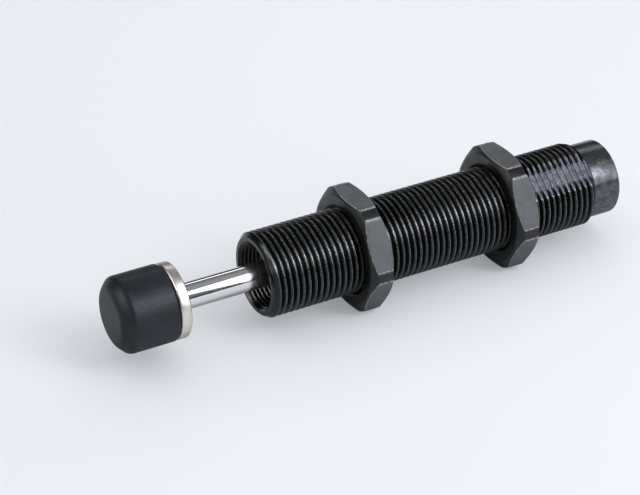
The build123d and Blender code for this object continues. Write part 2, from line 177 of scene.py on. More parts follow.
def softened(corners, cut=0.12, steps=4):
    """Replaces each inner corner P by the curve that starts cut before it and ends cut after it.

    The curve is the quadratic (1-t)^2 A + 2 t (1-t) P + t^2 B, with A and B on the two sides. On a
    short side the cut shrinks to LARGEST_CUT of that side. The cut is one length for all corners,
    or a column with a length for each inner corner.
    """
    p = np.asarray(corners, float)
    before, after = p[:-2] - p[1:-1], p[2:] - p[1:-1]
    long_before, long_after = (np.linalg.norm(v, axis=-1, keepdims=True) for v in (before, after))
    a = p[1:-1] + before / long_before * np.minimum(cut, LARGEST_CUT * long_before)
    b = p[1:-1] + after / long_after * np.minimum(cut, LARGEST_CUT * long_after)
    t = np.linspace(0, 1, steps)[:, None, None]
    curve = (1 - t) ** 2 * a + 2 * t * (1 - t) * p[1:-1] + t ** 2 * b
    return np.concatenate([p[:1], curve.transpose(1, 0, 2).reshape(-1, 2), p[-1:]])


print("a softened corner:", softened([(0, 0), (0, 1), (-1, 1)]).round(2).tolist())


# %% Carry a profile around the axis
def around(columns):
    """Angles of one full turn, evenly spaced, with the first one repeated at the end."""
    return np.linspace(0, 2 * np.pi, columns + 1)


def turned(profile, angle):
    """Point (i, j): x from the profile, y = r cos(angle), z = r sin(angle), j along one full turn."""
    profile = np.asarray(profile, float)
    x, r = profile[:, :1], profile[:, 1:]
    return np.stack([x + 0 * angle, r * np.cos(angle), r * np.sin(angle)], axis=-1)


print("2 points turned in 4 steps:", turned([(0, 1), (1, 1)], around(4)).shape)


# %% [markdown]
# ## A screw thread as a surface
#
# Cut a threaded bar lengthwise and the edge of the cut is the same tooth, over and over. Turn the
# cut about the axis and the teeth slide along the bar by one pitch per turn. So a thread is a turned
# shape whose x also depends on the angle. After a full turn each tooth lands on its neighbour, and
# the seam closes by itself. The ends are cut square by clamping x, and a chamfer is the smaller of
# two radii: the tooth and a cone.
#
# A bump texture would be cheaper, but it leaves the outline smooth, and a row of teeth against a pale
# table is the first thing that the eye checks. So the teeth are real.

# %% The thread function
def thread(tooth, pitch, start, end, limit, angle):
    """A right-hand thread from x = start back to x = end, both ends cut square.

    tooth holds (share of the pitch, radius) pairs. Row (n, u) lies at x = start - pitch (n + u) +
    pitch angle / 2 pi, clamped between the ends. limit(x, angle, radius) trims what is cut away.
    """
    share, radius = np.asarray(tooth, float).T
    turns = int(math.ceil((start - end) / pitch)) + 2
    steps = (np.arange(turns)[:, None] + share).ravel()
    radii = np.tile(radius, turns)[:, None]
    x = start - pitch * steps[:, None] + pitch * angle / (2 * np.pi)
    x = np.clip(x, end, start)
    x[0], x[-1] = start, end
    r = limit(x, angle, radii + 0 * x)
    return np.stack([x, r * np.cos(angle), r * np.sin(angle)], axis=-1)


# %% [markdown]
# ## The barrel
#
# The barrel is an M20 x 1.5 threaded tube. Its teeth have flanks about 60 degrees apart, a narrow
# root and a flat top about 0.4 mm wide, called the land, with a small burr along the edge away from
# the mouth. The mouth has a second, finer thread inside, which takes the gland nut that closes the
# oil chamber. Behind the outer thread the tail is turned down to a plain cylinder, and a flat for a
# wrench is milled across the last turns of the thread.
#
# A Boolean could cut that flat, but it would leave a tangle of thin faces. A flat at distance d from
# the axis has the radius d / cos(angle from its middle), so here it is one more limit on the thread.
# It ends in sharp points on every tooth, and the angles lie closer together there to draw them.

# %% Barrel sizes
BARREL_R, TAIL_R, BORE_R = 10.0, 8.85, 7.46
FACE_R, FACE_MIDDLE_R, MOUTH_EDGE_R = 9.0, 8.56, 8.11
THREAD_END, TAIL_END, TAIL_CHAMFER = -84.3, -92.5, 0.5
TAIL_START = THREAD_END - (BARREL_R - TAIL_R)
CHAMBER_END, SCREW_SEAT = -84.5, -86.3
FILL_HOLE_R, SCREW_HOLE_R, COUNTERSINK = 1.0, 1.62, 0.38
FLAT_START, FLAT_R, FLAT_ANGLE = -66.3, 9.03, math.radians(51.5)
FLAT_REACH = math.radians(28)  # from the flat's middle to well past its widest point
BARREL_ANGLES = FLAT_ANGLE + np.concatenate([
    np.linspace(-FLAT_REACH, FLAT_REACH, 49),
    np.linspace(FLAT_REACH, 2 * np.pi - FLAT_REACH, 61)[1:]])
print("barrel:", len(BARREL_ANGLES), "columns, tail from", round(TAIL_START, 2), "to", TAIL_END, "mm")

# %% The teeth of both threads, as (share of the pitch, radius) pairs
PITCH, ROOT_R = 1.5, 9.14
BURR_SHARE, ROOT_SHARE = 0.05, 0.44
MOUTH_PITCH, MOUTH_ROOT_R, MOUTH_THREAD_END = 1.0, 8.0, -12.6
OUTER_TOOTH = [
    (0.02, BARREL_R - 0.002), (BURR_SHARE, BARREL_R), (0.08, BARREL_R - 0.006),
    (0.1, BARREL_R - 0.03), (0.12, BARREL_R - 0.09), (0.39, ROOT_R + 0.06), (0.415, ROOT_R),
    (0.455, ROOT_R), (0.48, ROOT_R + 0.06), (0.76, BARREL_R - 0.09), (0.785, BARREL_R - 0.035),
    (0.81, BARREL_R - 0.016), (0.92, BARREL_R - 0.01)]
HALF_MOUTH_TOOTH = [
    (0.0, BORE_R), (0.1, BORE_R), (0.14, BORE_R + 0.03), (0.42, MOUTH_ROOT_R - 0.03),
    (0.46, MOUTH_ROOT_R)]
MOUTH_TOOTH = HALF_MOUTH_TOOTH + [(1 - share, radius) for share, radius in HALF_MOUTH_TOOTH[:0:-1]]
print("thread depth", round(BARREL_R - ROOT_R, 2), "mm, turns", round(-TAIL_START / PITCH, 1))


# %% Trim the threads at their ends
def outer_limit(x, angle, r):
    """The tooth, but never outside the milled flat and the 45 degree cones at the thread's ends."""
    over_flat = (x < FLAT_START) & (np.cos(angle - FLAT_ANGLE) > 0.5)
    flat = np.where(over_flat, FLAT_R / np.cos(angle - FLAT_ANGLE), BARREL_R)
    return np.minimum(np.minimum(r, flat), np.minimum(FACE_R - x, TAIL_R + (x - TAIL_START)))


def mouth_limit(x, angle, r):
    """The tooth, opened by the mouth's chamfer and fading into the plain bore over the last turn."""
    fade = np.clip((x - MOUTH_THREAD_END) / MOUTH_PITCH, 0, 1)
    return np.maximum(BORE_R + (r - BORE_R) * fade, MOUTH_EDGE_R + x)


# %% Build the barrel
tail = softened([
    (TAIL_START, TAIL_R), (TAIL_END + TAIL_CHAMFER, TAIL_R), (TAIL_END, TAIL_R - TAIL_CHAMFER),
    (TAIL_END, SCREW_HOLE_R + COUNTERSINK), (TAIL_END + COUNTERSINK, SCREW_HOLE_R),
    (SCREW_SEAT, SCREW_HOLE_R), (SCREW_SEAT, FILL_HOLE_R), (CHAMBER_END, FILL_HOLE_R),
    (CHAMBER_END, BORE_R), (MOUTH_THREAD_END, BORE_R)], cut=0.1)
front_face = softened([(0, MOUTH_EDGE_R), (0, FACE_MIDDLE_R), (0, FACE_R)], cut=0.05)
barrel = make_piece("barrel_threaded", [
    thread(OUTER_TOOTH, PITCH, 0.0, TAIL_START, outer_limit, BARREL_ANGLES),
    turned(tail, BARREL_ANGLES),
    thread(MOUTH_TOOTH, MOUTH_PITCH, 0.0, MOUTH_THREAD_END, mouth_limit, BARREL_ANGLES)[::-1],
    turned(front_face, BARREL_ANGLES)], "barrel", "barrel", smooth_below=35.0)

# %% [markdown]
# ## The lock nuts
#
# Two thin hexagon nuts clamp the damper in its bracket. A nut is turned from hexagon bar: the lathe
# cuts the corners back to a cylinder and chamfers both faces, and where that cone meets the flats it
# leaves the well-known arcs. A prism cut with Booleans would give the same shape and a rough mesh.
# In polar form the outline is the smaller of two radii, flat and cylinder, and the chamfer moves the
# edge back in proportion to the radius, so the arcs come out by themselves.

# %% Nut sizes
NUT_APOTHEM, NUT_CORNER_R, NUT_FACE_R, NUT_BORE_R = 13.5, 14.728, 12.85, 10.05
NUT_WIDTH, NUT_COUNTERSINK, NUT_CHAMFER = 6.0, 0.7, math.radians(30)
SIXTH = math.pi / 3
print("nut:", 2 * NUT_APOTHEM, "mm across the flats,", 2 * NUT_CORNER_R, "mm across the corners")


# %% The outline of a turned hexagon
def hexagon_angles():
    """Angles from the first flat's middle: even on a flat, close together where its corner starts."""
    half = math.acos(NUT_APOTHEM / NUT_CORNER_R)
    flat = np.linspace(-half + 0.03, half - 0.03, 13)
    edge = half + np.array([-0.014, 0.0, 0.014])
    side = np.concatenate([-edge[::-1], flat, edge, [half + 0.06]])
    angles = np.concatenate([side + k * SIXTH for k in range(6)])
    return np.append(angles, angles[0] + 2 * np.pi)


def hexagon_radius(angle, blend=0.12):
    """The smaller of the flat, apothem / cos, and the cylinder, blended where they are close."""
    from_middle = (angle + SIXTH / 2) % SIXTH - SIXTH / 2
    flat = NUT_APOTHEM / np.cos(from_middle)
    near = np.maximum(blend - np.abs(flat - NUT_CORNER_R), 0) / blend
    return np.minimum(flat, NUT_CORNER_R) - near ** 2 * blend / 4


print("nut outline:", len(hexagon_angles()), "angles, radius at a flat", hexagon_radius(0.0).round(2))


# %% Nut surface
def nut_surface(front):
    """A closed profile at each angle, from the middle of the bore around the nut and back.

    It runs through the bore, countersink, face, chamfer and flat, and back along the rear face.
    """
    rear = front - NUT_WIDTH
    middle = (front + rear) / 2
    outline = hexagon_angles()
    angle = outline + math.pi / 2
    r = hexagon_radius(outline)
    drop = (r - NUT_FACE_R) * math.tan(NUT_CHAMFER)
    bore, mouth, one = NUT_BORE_R, NUT_BORE_R + NUT_COUNTERSINK, np.ones_like(r)
    corners = np.stack([np.stack([x * one, q * one], axis=-1) for x, q in (
        (middle, bore), (front - NUT_COUNTERSINK, bore), (front, mouth), (front, NUT_FACE_R),
        (front - drop, r), (rear + drop, r),
        (rear, NUT_FACE_R), (rear, mouth), (rear + NUT_COUNTERSINK, bore), (middle, bore))])
    profile = np.stack([softened(corners[:, k], cut=0.16) for k in range(len(angle))], axis=1)
    x, q = profile[..., 0], profile[..., 1]
    return np.stack([x, q * np.cos(angle), q * np.sin(angle)], axis=-1)


front_nut = make_piece("front_nut_turned", [nut_surface(-22.5)], "front_lock_nut", "front_lock_nut", 24.0)
rear_nut = make_piece("rear_nut_turned", [nut_surface(-61.0)], "rear_lock_nut", "rear_lock_nut", 24.0)

# %% [markdown]
# ## Rod, plate and bumper
#
# The rod is ground and hard chromed, so it needs nothing but a clean cylinder with many columns: a
# mirror shows every facet. The steel plate at its end is a turned disc with a stem and a mushroom
# head, and the rubber bumper snaps over that head. All three are round, so each is one profile,
# turned. The bumper's profile goes on into the hollow that grips the head, because a cap without it
# would be wrong as soon as the model is taken apart.

# %% Piston rod
ROD_R, ROD_STUD_R, ROD_SHOULDER, ROD_FRONT = 3.0, 2.0, 19.4, 26.6
PISTON_SHOULDER, ROD_REAR = -29.5, -39.7
SMOOTH_TURN = around(128)
rod_profile = softened([
    (ROD_FRONT, 0), (ROD_FRONT, ROD_STUD_R), (ROD_SHOULDER, ROD_STUD_R), (ROD_SHOULDER, ROD_R),
    (PISTON_SHOULDER, ROD_R), (PISTON_SHOULDER, ROD_STUD_R), (ROD_REAR, ROD_STUD_R),
    (ROD_REAR, 0)], cut=0.1)
rod = make_piece("rod_ground", [turned(rod_profile, SMOOTH_TURN)], "piston_rod", "piston_rod")

# %% Bumper plate
PLATE_R, PLATE_HOLE_R, PLATE_FRONT, PLATE_EDGE = 8.75, 2.02, 21.9, 0.25
STEM_R, STEM_END, HEAD_R, HEAD_END, HEAD_CHAMFER = 4.3, 24.9, 5.5, 27.5, 0.9
SEAM = (20.5, PLATE_HOLE_R)  # inside the hole, where the closed profile starts and ends
plate_profile = softened([
    SEAM, (ROD_SHOULDER, PLATE_HOLE_R), (ROD_SHOULDER, PLATE_R - PLATE_EDGE),
    (ROD_SHOULDER + PLATE_EDGE, PLATE_R), (PLATE_FRONT - PLATE_EDGE, PLATE_R),
    (PLATE_FRONT, PLATE_R - PLATE_EDGE), (PLATE_FRONT, STEM_R), (STEM_END, STEM_R),
    (STEM_END, HEAD_R), (HEAD_END - HEAD_CHAMFER, HEAD_R), (HEAD_END, HEAD_R - HEAD_CHAMFER),
    (HEAD_END, PLATE_HOLE_R), SEAM], cut=0.1)
plate = make_piece("plate_turned", [turned(plate_profile, SMOOTH_TURN)], "piston_rod", "bumper_plate")

# %% Rubber bumper
BUMPER_R, NOSE_END, NOSE_BEVEL, RIM = 8.85, 35.2, 2.3, 22.75
FIT = 0.02  # between the bumper and the head that holds it
nose = softened([
    (NOSE_END, 0), (NOSE_END, BUMPER_R - NOSE_BEVEL), (NOSE_END - NOSE_BEVEL, BUMPER_R),
    (RIM, BUMPER_R)], cut=np.array([[1.4], [0.8]]), steps=11)
rim = softened([
    (RIM, BUMPER_R), (22.5, BUMPER_R), (22.3, BUMPER_R - 0.3), (PLATE_FRONT, BUMPER_R - 0.5),
    (PLATE_FRONT, STEM_R + FIT), (STEM_END - FIT, STEM_R + FIT), (STEM_END - FIT, HEAD_R + FIT),
    (HEAD_END - HEAD_CHAMFER + FIT, HEAD_R + FIT), (HEAD_END + FIT, HEAD_R - HEAD_CHAMFER + FIT),
    (HEAD_END + FIT, 0)], cut=0.1)
bumper_grid = turned(np.concatenate([nose, rim]), SMOOTH_TURN)
bumper = make_piece("bumper_moulded", [bumper_grid], "piston_rod", "bumper", 60.0)

# %% [markdown]
# ## The return spring
#
# Inside the barrel a long spring pushes the piston back out. Its wire is a circle carried along a
# helix. At each end one turn is closed: it lies against the next turn, so that the spring stands
# straight on its seat. The climb along the axis is therefore slow at both ends and quick between
# them. When the rod goes in, the whole spring is squashed towards its rear end.
#
# A Blender curve with a bevel depth could be the wire too. As a grid it is one closed mesh from the
# start, woven by the same function as everything else.

# %% Spring as a circle carried along a helix
CLOSED_GAP = 0.03  # between the two turns that lie together


def spring_surface(x_front, x_rear, mean_r, wire_r, working=7, ends=1, per_turn=40, sides=12):
    """Point (s, a) = centre(s) + wire_r (cos a * outward + sin a * binormal).

    centre(s) runs on a cylinder of mean_r. Its x climbs by one wire per turn at the ends and evenly
    between them. Outward points away from the axis; the binormal is the tangent crossed with it.
    """
    turns = working + 2 * ends
    s = np.linspace(0, turns, turns * per_turn + 1)
    close = ends * (2 * wire_r + CLOSED_GAP)
    length = x_front - x_rear - 2 * wire_r
    climb = np.interp(s, [0, ends, turns - ends, turns], [0, close, length - close, length])
    angle = -2 * np.pi * s
    x = x_rear + wire_r + climb
    centre = np.stack([x, mean_r * np.cos(angle), mean_r * np.sin(angle)], axis=-1)
    outward = np.stack([0 * x, np.cos(angle), np.sin(angle)], axis=-1)
    tangent = np.gradient(centre, axis=0)
    tangent /= np.linalg.norm(tangent, axis=1, keepdims=True)
    binormal = np.cross(tangent, outward)
    a = np.linspace(0, 2 * np.pi, sides + 1)[:, None]
    tube = centre[:, None] + wire_r * (np.cos(a) * outward[:, None] + np.sin(a) * binormal[:, None])
    cap_start, cap_end = (np.repeat(centre[k][None, None], sides + 1, axis=1) for k in (0, -1))
    return np.concatenate([cap_start, tube, cap_end])


spring_grid = spring_surface(x_front=-37.7, x_rear=-80.5, mean_r=4.1, wire_r=0.35)
spring = make_piece("spring_coiled", [spring_grid], "barrel", "return_spring", 60.0)
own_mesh(spring)

# %% [markdown]
# ## Material maths that reads like arithmetic
#
# A Blender material is a graph of nodes. It can be wired by hand in the Shader Editor, but a formula
# in text is easier to read and to change. Wrapping an output socket in a small class lets Python's
# operators add the Math nodes: `1 - mask * 0.5` becomes two nodes. Every other kind of node comes
# from one method, `node`, which takes the type, its settings and its inputs.

# %% The Wire class
class Wire:
    """A value inside a material: an output socket that can be added, multiplied and so on."""

    def __init__(self, tree, socket):
        self.tree, self.socket = tree, socket

    def node(self, kind, settings=None, inputs=None, output=0):
        """Adds a node of a type, first its settings, then the values or links of its sockets."""
        made = self.tree.nodes.new(kind)
        for key, value in (settings or {}).items():
            setattr(made, key, value)
        for key, value in (inputs or {}).items():
            if isinstance(value, Wire):
                self.tree.links.new(value.socket, made.inputs[key])
            else:
                made.inputs[key].default_value = value
        return Wire(self.tree, made.outputs[output])

    def maths(self, operation, *others):
        """A Math node whose first input is this value and whose next inputs are the others."""
        inputs = dict(enumerate((self, *others)))
        return self.node("ShaderNodeMath", {"operation": operation}, inputs)

    def reflected(self, operation, other):
        """A Math node with this value last, for a number that stands first, as in 1 - mask."""
        return self.node("ShaderNodeMath", {"operation": operation}, {0: other, 1: self})

    def __add__(self, other): return self.maths("ADD", other)
    def __radd__(self, other): return self.reflected("ADD", other)
    def __sub__(self, other): return self.maths("SUBTRACT", other)
    def __rsub__(self, other): return self.reflected("SUBTRACT", other)
    def __mul__(self, other): return self.maths("MULTIPLY", other)
    def __rmul__(self, other): return self.reflected("MULTIPLY", other)
    def __truediv__(self, other): return self.maths("DIVIDE", other)
    def __rtruediv__(self, other): return self.reflected("DIVIDE", other)


# %% Masks and colours
def blend(mask, low, high):
    """A colour between low and high, chosen by the mask."""
    return mask.node("ShaderNodeMix", {"data_type": "RGBA"}, {0: mask, 6: low, 7: high}, output=2)


def remap(wire, low, high, to_low=0.0, to_high=1.0):
    """Smoothly stretches the range low to high onto to_low to to_high."""
    return wire.node("ShaderNodeMapRange", {"interpolation_type": "SMOOTHSTEP"},
                     {0: wire, 1: low, 2: high, 3: to_low, 4: to_high})


def grey(value, warmth=0.0):
    """A neutral colour; a little warmth lifts red and lowers blue."""
    return (value * (1 + warmth), value, value * (1 - warmth), 1.0)


# %% Distances
X, Y, Z = range(3)


def coordinate(where, k):
    """The x, y or z of a point."""
    return where.node("ShaderNodeSeparateXYZ", {}, {0: where}, output=k)


def off_axis(where):
    """Distance from the X axis: the length of (0, y, z)."""
    flat = where.node("ShaderNodeVectorMath", {"operation": "MULTIPLY"}, {0: where, 1: (0.0, 1.0, 1.0)})
    return flat.node("ShaderNodeVectorMath", {"operation": "LENGTH"}, {0: flat}, output=1)


# %% Textures
def noise(where, scale, detail=3.0, roughness=0.5):
    """Soft random blotches, scale of them per metre."""
    return where.node("ShaderNodeTexNoise", {}, {"Vector": where, "Scale": scale, "Detail": detail,
                                                 "Roughness": roughness})


def rings(distance, scale, roughness=0.6):
    """Noise that changes with one distance only, as the marks of a lathe do."""
    line = distance.node("ShaderNodeCombineXYZ", {}, {0: distance, 1: 0.0, 2: 0.0})
    return noise(line, scale, 2.0, roughness)


# %% Start and end a material
def new_material(name):
    """An empty material: its Principled shader and a Wire with the Object coordinates."""
    material = bpy.data.materials.new(name)
    material.use_nodes = True
    tree = material.node_tree
    shader = tree.nodes["Principled BSDF"]
    where = Wire(tree, tree.nodes.new("ShaderNodeTexCoord").outputs["Object"])
    return material, shader, where


def dress(shader, bump=None, bump_mm=0.01, **sockets):
    """Sets or links the shader's sockets; bump is a height that is bump_mm deep."""
    tree = shader.id_data
    for name, value in sockets.items():
        socket = shader.inputs[name.replace("_", " ")]
        if isinstance(value, Wire):
            tree.links.new(value.socket, socket)
        else:
            socket.default_value = value
    if bump is not None:
        inputs = {"Strength": 1.0, "Distance": bump_mm * MM, "Height": bump}
        shaped = bump.node("ShaderNodeBump", {}, inputs)
        tree.links.new(shaped.socket, shader.inputs["Normal"])


def paint(material, *names):
    """Gives a material to pieces or CAD nodes by name."""
    for name in names:
        mesh = bpy.data.objects[name].data
        mesh.materials.clear()
        mesh.materials.append(material)
    print(f"{material.name}: {len(material.node_tree.nodes)} nodes, on {', '.join(names)}")


# %% [markdown]
# ## Black oxide on the barrel
#
# Black oxide is a hot dip that turns the outer micron of steel into magnetite, and an oil bath seals
# it. The result is nearly black and rather glossy, but the cut thread underneath is not perfectly
# smooth, so highlights on the crests break up into tiny speckles.
#
# Wear lightens the burr along each crest first, then specks on the land and the edges of the mouth.
# A patch on the chamfer is partly rubbed metal and partly a painted highlight: it lies only on the
# side where the highlight falls. All this could be painted by hand on an image. Masks worked out from
# a point's place need no image and stay sharp close up. The distance from the axis finds the lands.
# Running the thread function backwards tells how far through its tooth a point lies, and that finds
# the burr.

# %% Masks from distances
def near(wire, value, reach):
    """1 where the wire is at the value, falling to 0 at reach from it."""
    return remap((wire - value).maths("ABSOLUTE"), reach, reach * 0.4)


def largest(first, *others):
    """The largest of several values, so the union of several masks."""
    for other in others:
        first = first.maths("MAXIMUM", other)
    return first


def height_towards(where, angle):
    """The distance from the axis, measured along one direction across it."""
    inputs = {0: where, 1: (0.0, math.cos(angle), math.sin(angle))}
    return where.node("ShaderNodeVectorMath", {"operation": "DOT_PRODUCT"}, inputs, output=1)


# %% Where a point lies on its tooth
def tooth_share(where):
    """How far through its tooth a point of the outer thread lies, from 0 to 1."""
    x, y, z = (coordinate(where, k) for k in (X, Y, Z))
    turn = z.maths("ARCTAN2", y) * (0.5 / math.pi)
    return (turn - x * (1 / (PITCH * MM))).maths("FRACT")


# %% Wear on the barrel, and a painted highlight on the chamfer
SCUFF_HIGHLIGHT_ANGLE = math.radians(53)
black_oxide, shader, where = new_material("black_oxide_barrel")
radius, depth = off_axis(where), coordinate(where, X)
speckle = noise(where, 3600.0, 2.0, 0.6)
share = tooth_share(where)
land = remap(radius, (BARREL_R - 0.12) * MM, (BARREL_R - 0.06) * MM)
burr = near(share, BURR_SHARE, 0.035) * land * remap(speckle, 0.34, 0.5)
specks = land * remap(noise(where, 3300.0, 1.0, 0.5), 0.56, 0.64) * 0.3
mouth_crest = remap(radius, (BORE_R + 0.06) * MM, (BORE_R + 0.02) * MM)
mouth_crest = mouth_crest * remap(depth, -11 * MM, -9 * MM)
lip = near(radius, MOUTH_EDGE_R * MM, 0.08 * MM) * remap(depth, -0.2 * MM, -0.1 * MM)
edges = largest(mouth_crest, lip) * remap(speckle, 0.4, 0.58)
# Painted highlight, partly: the patch on the chamfer is rubbed metal only on the side where the highlight
# falls.
highlight_side = remap(height_towards(where, SCUFF_HIGHLIGHT_ANGLE) / radius, 0.91, 0.98)
on_chamfer = remap(radius, 9.1 * MM, 9.4 * MM) * remap(depth, -1.6 * MM, -1.3 * MM)
scuff_and_highlight = highlight_side * on_chamfer * remap(speckle, 0.36, 0.56) * 0.65
wear_and_highlight = largest(edges, scuff_and_highlight, burr, specks)

# %% [markdown]
# The plain tail and the milled flat carry a thinner oxide, so they are lighter, cloudy metal, a
# little blue on the flat. What is left of each root crosses the flat as a thin, wavy dark line with a
# lighter ridge beside it. These lines are a fraction of a millimetre wide, so they are drawn in the
# colour and not in the mesh.

# %% Bare metal on the barrel
blotch = noise(where, 700.0, 4.0, 0.6)
tail_part = remap(depth, (TAIL_START + 0.25) * MM, (TAIL_START + 0.05) * MM)
flat_part = near(height_towards(where, FLAT_ANGLE), FLAT_R * MM, 0.03 * MM)
flat_part = flat_part * remap(depth, (FLAT_START + 0.2) * MM, FLAT_START * MM)
open_part = largest(tail_part, flat_part) * remap(blotch, 0.3, 0.7, 0.7, 1.0)
wavy_share = share + (noise(where, 800.0, 2.0, 0.5) - 0.5) * 0.3
groove = near(wavy_share, ROOT_SHARE, 0.12)
ridge = near(wavy_share, ROOT_SHARE + 0.17, 0.07)
patches = remap(blotch, 0.35, 0.65)
tail_metal = blend(patches, (0.094, 0.096, 0.108, 1.0), (0.152, 0.155, 0.167, 1.0))
flat_metal = blend(patches, (0.10, 0.108, 0.14, 1.0), (0.16, 0.165, 0.192, 1.0))
flat_metal = blend(ridge * 0.5, flat_metal, (0.28, 0.285, 0.31, 1.0))
flat_metal = blend(remap(groove, 0.0, 1.0, 0.2, 0.94), flat_metal, grey(0.018))

# %% Barrel finish
oxide = blend(wear_and_highlight, grey(0.003), grey(0.25))
dress(shader, Base_Color=blend(open_part, oxide, blend(tail_part, flat_metal, tail_metal)),
      Metallic=largest(wear_and_highlight, open_part),
      Roughness=remap(speckle, 0.3, 0.7, 0.1, 0.2) + open_part * remap(blotch, 0.3, 0.7, 0.04, 0.14),
      Specular_IOR_Level=0.45,
      bump=speckle * (1 - open_part * 0.6), bump_mm=0.04)
paint(black_oxide, "barrel_threaded")

# %% [markdown]
# ## Black oxide on the nuts
#
# The nuts were dipped too. Their flats are the skin of the drawn bar, which takes the dip matt and
# cloudy, while the corners, chamfers and faces were cut on a lathe and came out darker and smoother,
# with fine circles. A mask finds the flats by geometry: only there does a point's height, measured
# square to the nearest flat, reach half the width across flats. Just below that height lie the
# softened edges of the flats, where the oxide has rubbed through in spots and a light grey line is
# also a painted highlight. Two materials on separate faces would do as well, but they couldn't fade
# into each other at those edges.

# %% Height over the nearest flat
def hexagon_height(where):
    """The largest distance from the axis along the three directions in which the flats face."""
    y, z = coordinate(where, Y), coordinate(where, Z)
    lean = math.sin(SIXTH)
    heights = z, z * 0.5 + y * lean, z * 0.5 - y * lean
    return largest(*(height.maths("ABSOLUTE") for height in heights))


# %% Nut finish
nut_oxide, shader, where = new_material("black_oxide_nut")
radius, flat_height = off_axis(where), hexagon_height(where)
flats = remap(flat_height, (NUT_APOTHEM - 0.08) * MM, (NUT_APOTHEM - 0.03) * MM)
cloud = remap(noise(where, 330.0, 6.0, 0.65), 0.36, 0.64)
grain = noise(where, 4200.0, 2.0, 0.6)
circles = rings(radius, 9000.0, 0.7)
matt = blend(cloud, (0.042, 0.042, 0.048, 1.0), (0.074, 0.077, 0.09, 1.0))
turned_tone = blend(cloud, grey(0.006, 0.01), grey(0.011))
# Painted highlight, partly: a light grey line along the softened edges of the flats, also oxide rubbed
# through in spots.
edge = near(flat_height, (NUT_APOTHEM - 0.12) * MM, 0.13 * MM) * remap(grain, 0.4, 0.56)
dress(shader, Base_Color=blend(edge * 0.8, blend(flats, turned_tone, matt), grey(0.4)),
      Roughness=flats * 0.1 + remap(cloud + grain * 0.5, 0.2, 1.3, 0.3, 0.42),
      Specular_IOR_Level=0.5,
      bump=grain + circles * (1 - flats) * 1.5, bump_mm=0.006)
paint(nut_oxide, "front_nut_turned", "rear_nut_turned", "fill_screw")

# %% [markdown]
# ## Chrome and nickel
#
# Hard chrome on a ground rod is a mirror with very fine scratches around the axis. Close to the mouth
# a film of oil dulls it. The plate is nickel plated over a turned surface: a touch warmer, and its
# lathe marks still show as rings, fine ones in the relief and broader ones in the tone. Anisotropic
# gloss could stand for such marks, but it shows no single ring. Noise that is stretched around the
# axis does, and it breaks up the reflections as on the real piece.

# %% Rod finish
chrome, shader, where = new_material("hard_chrome")
drawn_out = where.node("ShaderNodeMapping", {"vector_type": "POINT"}, {0: where, 3: (1.0, 0.02, 0.02)})
scratches = noise(drawn_out, 12000.0, 2.0, 0.6)
haze = noise(where, 300.0, 3.0, 0.5)
oily = remap(coordinate(where, X), 5 * MM, 0.0)
dress(shader, Base_Color=blend(haze, (0.84, 0.84, 0.845, 1.0), (0.9, 0.9, 0.9, 1.0)), Metallic=1.0,
      Roughness=remap(haze + scratches * 0.3, 0.3, 1.0, 0.05, 0.11) + oily * 0.18,
      bump=scratches, bump_mm=0.0006)
paint(chrome, "rod_ground", "fill_ball")

# %% Plate finish
nickel, shader, where = new_material("nickel_plate")
across = off_axis(where) + coordinate(where, X)
marks = rings(across, 14000.0, 0.65)
haze = noise(where, 500.0, 3.0, 0.5)
tone = haze * 0.3 + remap(rings(across, 2200.0), 0.38, 0.62, 0.0, 0.7)
dress(shader, Base_Color=blend(tone, (0.68, 0.65, 0.60, 1.0), (0.94, 0.92, 0.89, 1.0)), Metallic=1.0,
      Roughness=remap(haze + marks * 0.5, 0.4, 1.1, 0.26, 0.42), bump=marks, bump_mm=0.002)
paint(nickel, "plate_turned")

# %% [markdown]
# ## Bumper rubber
#
# The bumper is moulded polyurethane, black with a fine spark-eroded texture from its mould and a few
# paler specks. It scatters light widely, so it looks dark grey where it faces the lamp. A rough
# surface alone looks like smooth plastic. The grain in the bump is what makes the gloss sparkle.

# %% Bumper finish
rubber, shader, where = new_material("bumper_elastomer")
texture = noise(where, 3800.0, 3.0, 0.6)
dust = remap(noise(where, 9000.0, 1.0, 0.5), 0.62, 0.75)
cloud = noise(where, 200.0, 3.0, 0.5)
tone = blend(remap(cloud, 0.3, 0.7), (0.004, 0.006, 0.010, 1), (0.008, 0.011, 0.016, 1))
dress(shader, Base_Color=blend(dust, tone, (0.06, 0.065, 0.07, 1.0)),
      Roughness=remap(texture, 0.3, 0.7, 0.34, 0.54), Specular_IOR_Level=0.42,
      bump=texture + dust * 0.3, bump_mm=0.026)
paint(rubber, "bumper_moulded")

# %% [markdown]
# ## The pieces inside
#
# None of these shows in the photograph, but the model can be opened, so each gets the look of what
# it is made of. Their CAD shapes are right, so they stay and only take a material. The metals share
# one recipe and differ in their values, and so do the seals, the plastic and the foam, because two
# functions are easier to keep alike than seven graphs.

# %% Metals inside
def inner_metal(name, dark, light, roughness, ring_scale, *painted):
    """A turned metal: rings along the axis or around a face, and a cloudy tone between two colours."""
    material, shader, where = new_material(name)
    marks = rings(off_axis(where) + coordinate(where, X), ring_scale)
    cloud = noise(where, 350.0, 4.0, 0.55)
    dress(shader, Base_Color=blend(remap(cloud, 0.3, 0.7), dark, light), Metallic=1.0,
          Roughness=remap(cloud + marks * 0.5, 0.4, 1.1, roughness, roughness + 0.15),
          bump=marks, bump_mm=0.003)
    paint(material, *painted)


inner_metal("turned_steel", (0.46, 0.46, 0.47, 1), (0.58, 0.58, 0.58, 1), 0.24, 9000.0,
            "guide_head", "pressure_tube", "tube_base_plug", "piston", "piston_nut")
inner_metal("bronze", (0.42, 0.23, 0.08, 1), (0.60, 0.36, 0.14, 1), 0.3, 8000.0, "bearing_bush")
inner_metal("spring_steel", (0.20, 0.19, 0.18, 1), (0.34, 0.32, 0.29, 1), 0.26, 12000.0,
            "piston_ring", "check_plate", "spring_coiled")
inner_metal("black_oxide_inside", grey(0.02), grey(0.05), 0.3, 7000.0, "gland_nut")


